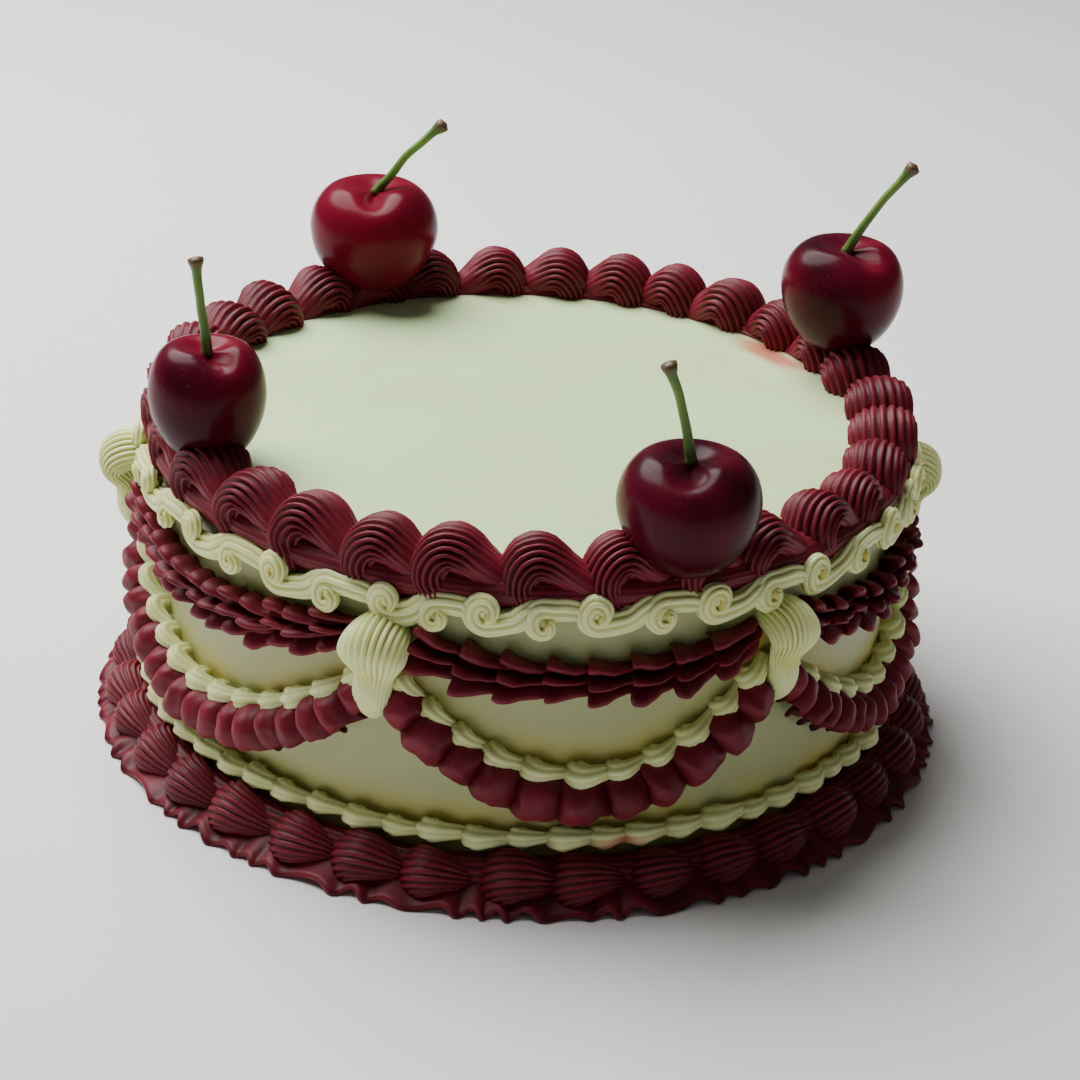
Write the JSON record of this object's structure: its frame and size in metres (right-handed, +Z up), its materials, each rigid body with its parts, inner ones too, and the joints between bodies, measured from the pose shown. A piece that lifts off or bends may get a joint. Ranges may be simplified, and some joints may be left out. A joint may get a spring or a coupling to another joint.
{
  "type": "round iced cake",
  "caption": "Whole round cake with smooth cream icing, piped shell borders, scrolls, swags and frills in cream and burgundy, and fresh cherries with stalks on the top border.",
  "frame": {"origin": "middle of the underside, on the surface the cake stands on", "axes": "+Z up through the middle of the cake, -Y towards the side seen in front"},
  "size_m": [0.19, 0.19, 0.1201],
  "materials": {
    "cream_icing": "soft satin buttercream, pale cream with a yellow tint in the creases",
    "burgundy_icing": "soft satin buttercream, dark wine red",
    "cherry_skin": "glossy dark maroon fruit skin",
    "cherry_stalk": "smooth green stalk with a brown tip"
  },
  "bodies": {
    "root": {"cake_body": "cream_icing", "top_border": "burgundy_icing", "cherry_1": "cherry_skin", "stalk_1": "cherry_stalk", "cherry_2": "cherry_skin", "stalk_2": "cherry_stalk", "cherry_3": "cherry_skin", "stalk_3": "cherry_stalk", "cherry_4": "cherry_skin", "stalk_4": "cherry_stalk", "scroll_border": "cream_icing", "bead_border": "cream_icing", "foot_border": "burgundy_icing", "foot_frill": "burgundy_icing", "drop_shell_1": "cream_icing", "upper_swag_1": "burgundy_icing", "cream_swag_1": "cream_icing", "lower_swag_1": "burgundy_icing", "drop_shell_2": "cream_icing", "upper_swag_2": "burgundy_icing", "cream_swag_2": "cream_icing", "lower_swag_2": "burgundy_icing", "drop_shell_3": "cream_icing", "upper_swag_3": "burgundy_icing", "cream_swag_3": "cream_icing", "lower_swag_3": "burgundy_icing", "drop_shell_4": "cream_icing", "upper_swag_4": "burgundy_icing", "cream_swag_4": "cream_icing", "lower_swag_4": "burgundy_icing", "drop_shell_5": "cream_icing", "upper_swag_5": "burgundy_icing", "cream_swag_5": "cream_icing", "lower_swag_5": "burgundy_icing", "drop_shell_6": "cream_icing", "upper_swag_6": "burgundy_icing", "cream_swag_6": "cream_icing", "lower_swag_6": "burgundy_icing"}
  },
  "joints": []
}
